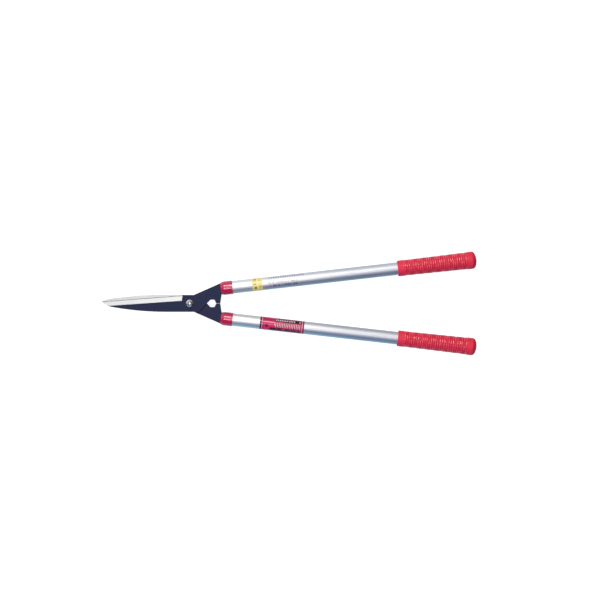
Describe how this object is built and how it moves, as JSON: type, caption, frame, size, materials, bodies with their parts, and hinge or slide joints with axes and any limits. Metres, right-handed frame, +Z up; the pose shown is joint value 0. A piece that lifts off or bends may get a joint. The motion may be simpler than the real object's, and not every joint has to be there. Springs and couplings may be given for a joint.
{
  "type": "hedge shears",
  "caption": "Hedge shears with straight forged blades on a bolted pivot, angled aluminium tube handles and ribbed closed-end grips.",
  "frame": {"origin": "middle of the footprint of the closed shears, on the surface the grips lie on", "axes": "+X from the blade tips towards the grips, +Z up out of the flat side that carries the pivot nut, +Y towards the right-hand handle"},
  "size_m": [0.651, 0.18, 0.0302],
  "materials": {
    "blade_steel": "dark blued coating, ground bright on the bevels and inner faces",
    "zinc_hardware": "zinc plated, lightly worn",
    "nylon_ring": "matt nylon",
    "crimson_plastic": "glossy moulded",
    "tube_aluminium": "satin anodised, fine draw lines",
    "black_plastic": "matt glass-filled moulding",
    "red_grip": "soft satin grip moulding, ribbed",
    "yellow_film": "printed film",
    "red_film": "printed film"
  },
  "bodies": {
    "left_shear": {"lower_blade": "blade_steel", "pivot_bolt": "zinc_hardware", "pivot_nut": "zinc_hardware", "nut_insert": "nylon_ring", "pivot_washer": "zinc_hardware", "left_ferrule": "crimson_plastic", "left_tube": "tube_aluminium", "left_tang_plug": "black_plastic", "left_tang_pin": "zinc_hardware", "left_grip": "red_grip", "red_label": "red_film"},
    "right_shear": {"upper_blade": "blade_steel", "right_ferrule": "crimson_plastic", "right_tube": "tube_aluminium", "right_tang_plug": "black_plastic", "right_tang_pin": "zinc_hardware", "right_grip": "red_grip", "yellow_label": "yellow_film"}
  },
  "joints": [
    {"name": "blade_pivot", "type": "hinge", "parent": "left_shear", "child": "right_shear", "pos_m": [-0.17156, 0, 0.0151], "axis": [0, 0, 1], "range_deg": [-0.3, 80]}
  ]
}
